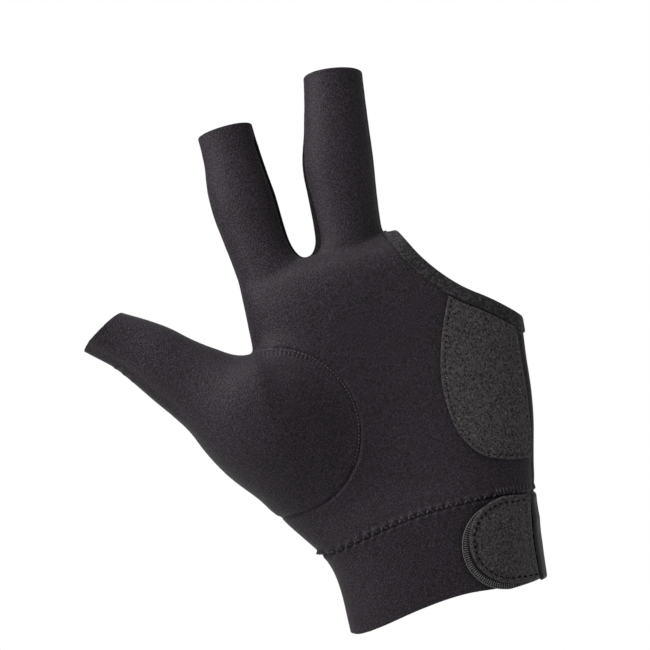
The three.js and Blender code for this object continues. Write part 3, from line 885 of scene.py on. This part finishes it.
def open_cloth():
    """The skin with its openings, cut along every seam and made finer there."""
    if "cloth" in FORMS:
        return FORMS["cloth"].copy()
    cloth = skin()
    openings = (beyond(above_hem), beyond_free_edge, sleeve_ends)
    for line in openings:
        cut_along(cloth, line)
    cloth = kept(cloth, *openings)
    seams = (above_cuff_seam, outside_thumb_arc, outside_tape, behind_side_seam, outside_gusset)
    for line in seams[:3]:
        finer(cloth, line, SEAM_FINE_REACH)
    for line in seams:
        cut_along(cloth, line)
    depth = sizes().seam_depth / MM
    reach = sizes().seam_reach / MM
    # Line, shares of the usual depth and reach, and puckers
    grooves = (
        (above_cuff_seam, 0.7, 0.6, cuff_puckers),
        (thumb_seam_only, 1.35, 0.75, thumb_puckers),
        (thumb_roll, 1.4, 2.2, thumb_tip_rolls),
        (side_seam_only, 1.2, 0.8, None),
        (gusset_seam_only, 1.1, 0.8, None),
    )
    for line, deep, wide, puckers in grooves:
        pull_in(cloth, line, deep * depth, wide * reach, puckers)
    FORMS["cloth"] = cloth
    return cloth.copy()


def thumb_seam_only(points):
    """Distance from the sewn part of the thumb's seam, deepest at its lower part."""
    x, _, z = points.T
    at_web = np.interp(x, (-38, -34), (3, 0))
    at_wrist = np.interp(x, (-42, -38), (0.6, 0))
    fade = np.interp(z, (52, 66), (0, 0.38)) + np.where(z > 60, at_web, at_wrist)
    unsewn = (z < 40) | ((z > 80) & (x < THUMB_ARC[0]))
    return np.where(unsewn, FAR_AWAY, faded(outside_thumb_arc(points), fade))


def end_fade(points):
    """Grows towards the sleeves' open ends, so that a seam's groove fades out there."""
    return np.interp(sleeve_ends(points), (-6, -2), (0, 3))


def side_seam_only(points):
    """Distance from the side seam where panels meet at it."""
    on_thumb = outside_thumb_arc(points) < 0
    below_palm = above_cuff_seam(points) < 0
    in_gusset = outside_gusset(points) < 0
    in_tape = outside_tape(points) < 1
    fade = np.interp(points[:, 2], (105, 115), (0, 0.75)) + end_fade(points)
    away = faded(behind_side_seam(points), fade)
    return np.where(on_thumb | below_palm | in_gusset | in_tape, FAR_AWAY, away)


def gusset_seam_only(points):
    """Distance from the edges of the strip between the fingers."""
    near = between_fingers(points) > 0
    edges = np.where(behind_side_seam(points) < 3, behind_gusset_front(points), behind_gusset_back(points))
    return np.where(near, faded(edges, end_fade(points)), FAR_AWAY)


def outside_patch(points):
    """Distance outside the palm patch."""
    curve = -line_distance(points, smooth_line(PATCH_EDGE, 5))
    tape = -outside_tape(points) + PATCH_TO_TAPE
    return np.max((curve, behind_side_seam(points) + PATCH_INSIDE_SEAM, tape), axis=0)


def closure_place(points, shift=(0, 0), tilt=TAB_TILT):
    """Distances along and across the tab or strap from the centre of the tab's round end."""
    turn = math.radians(tilt)
    x = points[:, 0] - TAB_CENTRE[0] - shift[0]
    z = points[:, 2] - TAB_CENTRE[1] - shift[1]
    return x * math.cos(turn) - z * math.sin(turn), x * math.sin(turn) + z * math.cos(turn)


def past_tab_end(points):
    """Distance round the edge of the wrist, past the tab's straight end."""
    return behind_middle(points) + TAB_END_FORWARD


def outside_round_tab(points, shift=(0, 0), narrowing=TAB_NARROWING):
    """Distance outside the half round tab's outline, on any side of the wrist."""
    along, across = closure_place(points, shift)
    reach = np.where(along < 0, np.hypot(along, across), np.abs(across) + narrowing * along)
    return reach - sizes().tab_radius / MM


def outside_tab(points):
    """Distance outside the tab."""
    return np.maximum(outside_round_tab(points), past_tab_end(points))


def outside_hook_pad(points):
    """Distance outside the hook pad."""
    return np.maximum(outside_round_tab(points, HOOK_SHIFT, HOOK_NARROWING), past_tab_end(points))


def outside_strap(points):
    """Distance outside the strap round the edge and back of the wrist."""
    along, across = closure_place(points, STRAP_SHIFT, STRAP_TILT)
    parts = (np.abs(across) - STRAP_HALF_WIDTH, -STRAP_REACH - along, STRAP_START - past_tab_end(points))
    return np.max(parts, axis=0)


def layer(outside, reach):
    """A part of the skin inside an outline, cut cleanly at its edge and made finer there."""
    cloth = kept(skin(), lambda points: outside(points) - LAYER_MARGIN)
    finer(cloth, outside, reach)
    cut_along(cloth, outside)
    return kept(cloth, outside)


def layer_height(outside, top, drop, edge, stitches=(0.0, 0.0, 1.0)):
    """Height of a layer with a rounded edge and a groove for stitches, given as inset, depth and width."""
    inset, deep, wide = stitches

    def height(points):
        inside = -outside(points)
        return top / MM - drop * (1 - rounded(inside, edge)) - deep * bell(inside, inset, wide)

    return height


def lay(name, node, finish, outside, reach, height, thickness):
    """A piece laid over the glove inside an outline; its outside is kept for stitches and lint."""
    cloth = layer(outside, reach)
    raise_by(cloth, height)
    FORMS[name] = cloth.copy()
    thickened(finished(name, cloth, *finish, node), thickness)


# Pieces


class GLOVE_OT_panels(bpy.types.Operator):
    """Sew the fabric panels: palm, back, thumb, strip between the fingers, and cuff"""

    bl_idname = "glove.panels"
    bl_label = "Fabric Panels"

    def execute(self, context):
        cloth = open_cloth()
        knit = stretch_knit()
        # Painted shade: a darker copy of the knit for the strip between the fingers, standing for the
        # shadow in its fold
        gusset_knit_painted_shade = stretch_knit("gusset_knit_painted_shade", GUSSET_PAINTED_SHADE)
        around = (above_cuff_seam, outside_thumb_arc, outside_tape, outside_gusset)
        in_palm = tuple(beyond(line) for line in around)
        panels = (
            ("palm_cloth", "palm_panel", knit, (*in_palm, behind_side_seam)),
            ("back_cloth", "back_panel", knit, (*in_palm, beyond(behind_side_seam))),
            ("thumb_cloth", "thumb_panel", knit, (outside_thumb_arc,)),
            ("gusset_cloth", "finger_gusset", gusset_knit_painted_shade, (outside_gusset,)),
            ("cuff_cloth", "wrist_cuff", knit, (above_cuff_seam,)),
        )
        for name, node, finish, tests in panels:
            piece = finished(name, kept(cloth, *tests), finish, "stretch_knit", node)
            thickened(piece, sizes().wall)
        cloth.free()
        return {"FINISHED"}


class GLOVE_OT_tape(bpy.types.Operator):
    """Fold the tape over the free edge of the palm"""

    bl_idname = "glove.tape"
    bl_label = "Edge Tape"

    def execute(self, context):
        cloth = kept(open_cloth(), outside_tape, beyond(above_cuff_seam))
        proud = sizes().tape_proud / MM
        wall = sizes().wall / MM

        def height(points):
            inside = -beyond_free_edge(points)
            width = sizes().tape_width / MM
            return proud * np.minimum(rounded(inside, 1.3), 0.35 + 0.65 * rounded(width - inside, 0.6))

        heights = height(cloth_points(cloth))
        raise_by(cloth, height)
        piece = finished("edge_tape", cloth, edge_tape(), "edge_tape", "finger_binding")
        group = piece.vertex_groups.new(name="fold")
        full = wall + 2 * proud
        for i, amount in enumerate(heights):
            group.add([i], (wall + 2 * float(amount)) / full, "REPLACE")
        thickened(piece, full * MM).modifiers["wall"].vertex_group = "fold"
        return {"FINISHED"}


class GLOVE_OT_patch(bpy.types.Operator):
    """Lay the brushed patch at the palm's outer edge"""

    bl_idname = "glove.patch"
    bl_label = "Palm Patch"

    def execute(self, context):
        thickness = sizes().patch_thickness
        top = sizes().gap + thickness
        height = layer_height(outside_patch, top, 0.45, 0.7, (PATCH_STITCH_INSET, 0.18, 0.4))
        finish = (patch_knit(), "patch_knit")
        lay("patch_cloth", "palm_patch", finish, outside_patch, 3.2, height, thickness)
        return {"FINISHED"}


class GLOVE_OT_closure(bpy.types.Operator):
    """Close the wrist: hook pad, tab and strap"""

    bl_idname = "glove.closure"
    bl_label = "Wrist Closure"

    def execute(self, context):
        self.hook_pad()
        self.tab()
        self.strap()
        return {"FINISHED"}

    def hook_pad(self):
        """Stiff pad whose ribbed border shows past the tab."""
        thickness = sizes().hook_thickness
        height = layer_height(outside_hook_pad, sizes().gap + thickness, 0.5, 0.8)
        finish = (hook_tape(), "hook_tape")
        lay("hook_pad_pile", "hook_pad", finish, outside_hook_pad, 3.0, height, thickness)

    def tab(self):
        """Brushed tab with a stitched border."""
        thickness = sizes().tab_thickness
        top = 2 * sizes().gap + sizes().hook_thickness + thickness
        height = layer_height(outside_tab, top, 0.45, 0.6, (TAB_STITCH_INSET, 0.2, 0.5))
        finish = (patch_knit(), "patch_knit")
        lay("tab_cloth", "strap_tab", finish, outside_tab, 3.4, height, thickness)

    def strap(self):
        """Strap round the edge of the wrist, with a rolled fold beside the tab."""
        thickness = sizes().strap_thickness
        flat = layer_height(outside_strap, sizes().gap + thickness, 0.8, 1.0)

        def height(points):
            welt = np.interp(points[:, 2], (0, 12, 29), (0.7, 1.0, 0.0))
            past = past_tab_end(points)
            fold = welt * bell(past, 8.0, 3.6)
            thin = np.interp(points[:, 2], (20, 29), (0, 1.1)) * np.interp(past, (14, 20), (1, 0))
            return flat(points) + fold - thin

        finish = (woven_strap(), "edge_tape")
        lay("strap_cloth", "wrist_strap", finish, outside_strap, 2.6, height, thickness)


# Stitching


def on_cloth(tree, line, side):
    """Points and normals where a line meets the cloth, seen from the palm side (-1) or the back (1)."""
    found = []
    for x, z in line:
        start = Vector((x, side * IN_FRONT, z)) * MM
        place, normal, _, _ = tree.ray_cast(start, Vector((0, -side, 0)))
        if place is not None:
            found.append((place, normal))
    return found


def even_line(line, pitch):
    """The line's points at an even pitch."""
    steps = np.hypot(*np.diff(line, axis=0).T)
    along = np.concatenate([[0], np.cumsum(steps)])
    stations = np.arange(0, along[-1], pitch)
    return np.column_stack([np.interp(stations, along, line[:, column]) for column in (0, 1)])


def moved_left(line, distance):
    """The line moved to its left."""
    step = np.gradient(line, axis=0)
    step /= np.hypot(*step.T)[:, None]
    return line + np.column_stack([-step[:, 1], step[:, 0]]) * distance


def add_stitch(threads, start, end, normal, radius, sink=0.3):
    """One stitch of thread: a slim rounded bar between two points, partly sunk in the cloth."""
    along = end - start
    if along.length < 1e-6:
        return
    side = normal.cross(along).normalized()
    up = along.cross(side).normalized()
    turn = Matrix((side, up, along.normalized())).transposed().to_4x4()
    size = Matrix.Diagonal((radius, radius, along.length / 2, 1))
    middle = (start + end) / 2 + normal * radius * (1 - sink)
    bmesh.ops.create_uvsphere(
        threads, u_segments=6, v_segments=5, radius=1, matrix=Matrix.Translation(middle) @ turn @ size
    )


def stitch_run(threads, tree, line, stitch, side=-1, slant=0.0):
    """Stitches (pitch, fill, thickness) along a line; slant tips every other one sideways."""
    pitch, fill, thickness = stitch
    radius = sizes().thread / 2 * thickness
    places = on_cloth(tree, even_line(line, pitch), side)
    for i, ((start, normal), (end, _)) in enumerate(zip(places[:-1], places[1:])):
        gap = end - start
        if gap.length > 2.5 * pitch * MM:
            continue
        across = normal.cross(gap).normalized() * slant * MM * (1 if i % 2 else -1)
        middle = (start + end) / 2
        half = gap * fill / 2 + across
        add_stitch(threads, middle - half, middle + half, normal, radius)


def overcast(threads, tree, line, ticks):
    """Short threads (pitch, reach, radius) laid across a line, to its left, side by side."""
    pitch, reach, radius = ticks
    places = even_line(line, pitch)
    for inner_point, outer_point in zip(places, moved_left(places, reach)):
        ends = on_cloth(tree, (inner_point, outer_point), -1)
        if len(ends) == 2:
            add_stitch(threads, ends[0][0], ends[1][0], ends[0][1], radius * MM)


def round_tab_line(inset, shift=(0, 0), straight=8.0):
    """The tab's outline on the palm side, moved in by an inset, as points (across, up)."""
    radius = sizes().tab_radius / MM - inset
    angles = np.linspace(math.pi / 2, 3 * math.pi / 2, 60)
    along = np.concatenate([[straight], radius * np.cos(angles), [straight]])
    across = np.concatenate([[radius], radius * np.sin(angles), [-radius]])
    turn = math.radians(TAB_TILT)
    x = TAB_CENTRE[0] + shift[0] + along * math.cos(turn) + across * math.sin(turn)
    z = TAB_CENTRE[1] + shift[1] - along * math.sin(turn) + across * math.cos(turn)
    return np.column_stack([x, z])


class GLOVE_OT_stitches(bpy.types.Operator):
    """Sew the visible seams and borders"""

    bl_idname = "glove.stitches"
    bl_label = "Stitches"

    def execute(self, context):
        self.seams()
        self.borders()
        self.pad_border()
        return {"FINISHED"}

    def seams(self):
        """Light stitches along the seams of cuff and thumb."""
        cloth = open_cloth()
        tree = BVHTree.FromBMesh(cloth)
        cloth.free()
        seam = smooth_line(CUFF_SEAM, 6)
        threads = bmesh.new()
        for side in (-1, 1):
            stitch_run(threads, tree, seam + (0, 0.6), CUFF_STITCH, side, CUFF_STITCH_SLANT)
        self.thumb_seam(threads, tree)
        left, right = SEAM_TICKS_ACROSS
        above_tab = seam[(seam[:, 0] > left) & (seam[:, 0] < right)]
        overcast(threads, tree, above_tab + (0, 0.4), SEAM_TICKS)
        grey = plain_material("grey_thread", colours().fine_thread, 0.5, 0.5)
        finished("fine_thread", threads, grey, "stretch_knit")

    def borders(self):
        """Dark stitches round the tab and the patch."""
        threads = bmesh.new()
        self.tab_border(threads)
        self.patch_border(threads)
        black = plain_material("black_thread", colours().tab_thread, 0.9, 0.3, gloss=0.03)
        finished("border_thread", threads, black, "patch_knit")

    def thumb_seam(self, threads, tree):
        """Short stitches just inside the upper part of the thumb's curved seam."""
        cx, cz, across, up = THUMB_ARC
        first, last = THUMB_STITCH_ARC
        angles = np.linspace(math.radians(first), math.radians(last), 120)
        x = cx + (across - THUMB_STITCH_INSET) * np.cos(angles)
        z = cz + (up - THUMB_STITCH_INSET) * np.sin(angles)
        for side in (-1, 1):
            stitch_run(threads, tree, np.column_stack([x, z]), THUMB_STITCH, side)

    def patch_border(self, threads):
        """Stitches inside the patch's curved edge."""
        tree = BVHTree.FromBMesh(FORMS["patch_cloth"])
        line = moved_left(smooth_line(PATCH_EDGE, 8), PATCH_STITCH_INSET)
        stitch_run(threads, tree, line, (sizes().stitch_pitch / MM, 0.5, 0.8))

    def tab_border(self, threads):
        """Stitches round the tab."""
        tree = BVHTree.FromBMesh(FORMS["tab_cloth"])
        stitch_run(threads, tree, round_tab_line(TAB_STITCH_INSET), (sizes().stitch_pitch / MM, 0.62, 1.3))

    def pad_border(self):
        """Light threads side by side round the hook pad, with a cord at its edge."""
        threads = bmesh.new()
        tree = BVHTree.FromBMesh(FORMS["hook_pad_pile"])
        overcast(threads, tree, round_tab_line(PAD_TICKS_INSET, HOOK_SHIFT, PAD_STRAIGHT), PAD_TICKS)
        stitch_run(threads, tree, round_tab_line(PAD_CORD_INSET, HOOK_SHIFT, PAD_STRAIGHT), PAD_CORD)
        thread = plain_material("pad_thread", colours().pad_thread, 0.4, 0.3)
        finished("pad_border", threads, thread, "hook_tape")


class GLOVE_OT_lint(bpy.types.Operator):
    """Scatter pale fluff on the patch and the tab"""

    bl_idname = "glove.lint"
    bl_label = "Lint"

    def execute(self, context):
        specks = bmesh.new()
        dice = np.random.default_rng(LINT_SEED)
        for name in ("patch_cloth", "tab_cloth"):
            faces = list(FORMS[name].faces)
            for i in dice.choice(len(faces), sizes().lint // 2, replace=False):
                face = faces[int(i)]
                start = face.calc_center_median()
                turn = Vector(dice.normal(size=3)).cross(face.normal).normalized()
                end = start + turn * float(dice.uniform(*LINT_LENGTHS)) * MM
                add_stitch(specks, start, end, face.normal, LINT_RADIUS * MM, 0.0)
        fluff = plain_material("lint", colours().lint, 0.9, 0.3)
        finished("lint", specks, fluff, "patch_knit")
        return {"FINISHED"}


# Stage


class GLOVE_OT_stage(bpy.types.Operator):
    """Set the floor, the soft lights and the camera"""

    bl_idname = "glove.stage"
    bl_label = "Stage"

    def execute(self, context):
        self.floor()
        self.sky()
        for lamp in LAMPS:
            self.light(*lamp)
        self.top_light()
        self.camera()
        return {"FINISHED"}

    def floor(self):
        """Plain pale floor well below the glove."""
        ground = bmesh.new()
        bmesh.ops.create_circle(ground, cap_ends=True, segments=96, radius=FLOOR_REACH)
        bmesh.ops.translate(ground, verts=ground.verts, vec=(0, 0, FLOOR_DEPTH))
        mesh = mesh_from("floor", ground)
        mesh.materials.append(plain_material("floor_paint", (0.9, 0.9, 0.9), 0.9, 0.0))
        piece = added("floor", mesh)

    def sky(self):
        """Even pale surroundings."""
        world = bpy.data.worlds.new("studio")
        world.use_nodes = True
        tree = world.node_tree
        seen = tree.nodes["Background"]
        around = tree.nodes.new("ShaderNodeBackground")
        for node, strength in ((seen, 1.0), (around, ROOM_LIGHT)):
            node.inputs["Color"].default_value = (1, 1, 1, 1)
            node.inputs["Strength"].default_value = strength
        rays = tree.nodes.new("ShaderNodeLightPath")
        mix = tree.nodes.new("ShaderNodeMixShader")
        tree.links.new(rays.outputs["Is Camera Ray"], mix.inputs["Fac"])
        tree.links.new(around.outputs[0], mix.inputs[1])
        tree.links.new(seen.outputs[0], mix.inputs[2])
        tree.links.new(mix.outputs[0], tree.nodes["World Output"].inputs["Surface"])
        bpy.context.scene.world = world
        bpy.context.scene.view_settings.view_transform = "Standard"

    def light(self, name, place, size, power):
        """A soft square lamp aimed at the middle of the glove."""
        lamp = bpy.data.lights.new(name, "AREA")
        lamp.size = size
        lamp.energy = power
        thing = added(name, lamp)
        thing.location = place
        thing.rotation_euler = (VIEW_CENTRE - Vector(place)).to_track_quat("-Z", "Y").to_euler()

    def top_light(self):
        """Soft light from straight above, mostly for the floor."""
        lamp = bpy.data.lights.new("top_light", "SUN")
        lamp.energy = TOP_LIGHT
        lamp.angle = math.radians(60)
        added("top_light", lamp)

    def camera(self):
        """The picture's view of the palm."""
        lens = bpy.data.cameras.new("camera")
        lens.sensor_width = 36
        lens.lens = lens.sensor_width * VIEW_DISTANCE / VIEW_WIDTH
        thing = added("camera", lens)
        right = Vector((math.cos(PHOTO_LEAN), 0, -math.sin(PHOTO_LEAN)))
        up = Vector((math.sin(PHOTO_LEAN), 0, math.cos(PHOTO_LEAN)))
        turn = Matrix((right, up, right.cross(up))).transposed().to_4x4()
        place = VIEW_CENTRE + Vector((0, -VIEW_DISTANCE, 0))
        thing.matrix_world = Matrix.Translation(place) @ turn
        bpy.context.scene.camera = thing


STEPS = (
    GLOVE_OT_stage,
    GLOVE_OT_panels,
    GLOVE_OT_tape,
    GLOVE_OT_patch,
    GLOVE_OT_closure,
    GLOVE_OT_stitches,
    GLOVE_OT_lint,
)


class GLOVE_PT_panel(bpy.types.Panel):
    """The glove's sizes, colours and steps"""

    bl_label = "Glove"
    bl_idname = "GLOVE_PT_panel"
    bl_space_type = "VIEW_3D"
    bl_region_type = "UI"
    bl_category = "Glove"

    def draw(self, context):
        for group in (context.scene.glove_sizes, context.scene.glove_colours):
            box = self.layout.box()
            for name in group.__annotations__:
                box.prop(group, name)
        for step in STEPS:
            self.layout.operator(step.bl_idname)


CLASSES = (GloveSizes, GloveColours, *STEPS, GLOVE_PT_panel)


def register():
    """Makes the settings, steps and panel known to Blender."""
    for item in CLASSES:
        bpy.utils.register_class(item)
    bpy.types.Scene.glove_sizes = PointerProperty(type=GloveSizes)
    bpy.types.Scene.glove_colours = PointerProperty(type=GloveColours)


def unregister():
    """Takes the settings, steps and panel away again."""
    del bpy.types.Scene.glove_colours
    del bpy.types.Scene.glove_sizes
    for item in reversed(CLASSES):
        bpy.utils.unregister_class(item)


def main():
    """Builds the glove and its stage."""
    register()
    bpy.ops.glove.stage()
    bpy.ops.glove.panels()
    bpy.ops.glove.tape()
    bpy.ops.glove.patch()
    bpy.ops.glove.closure()
    bpy.ops.glove.stitches()
    bpy.ops.glove.lint()
    for form in FORMS.values():
        form.free()
    bpy.context.view_layer.update()


if __name__ == "__main__":
    main()
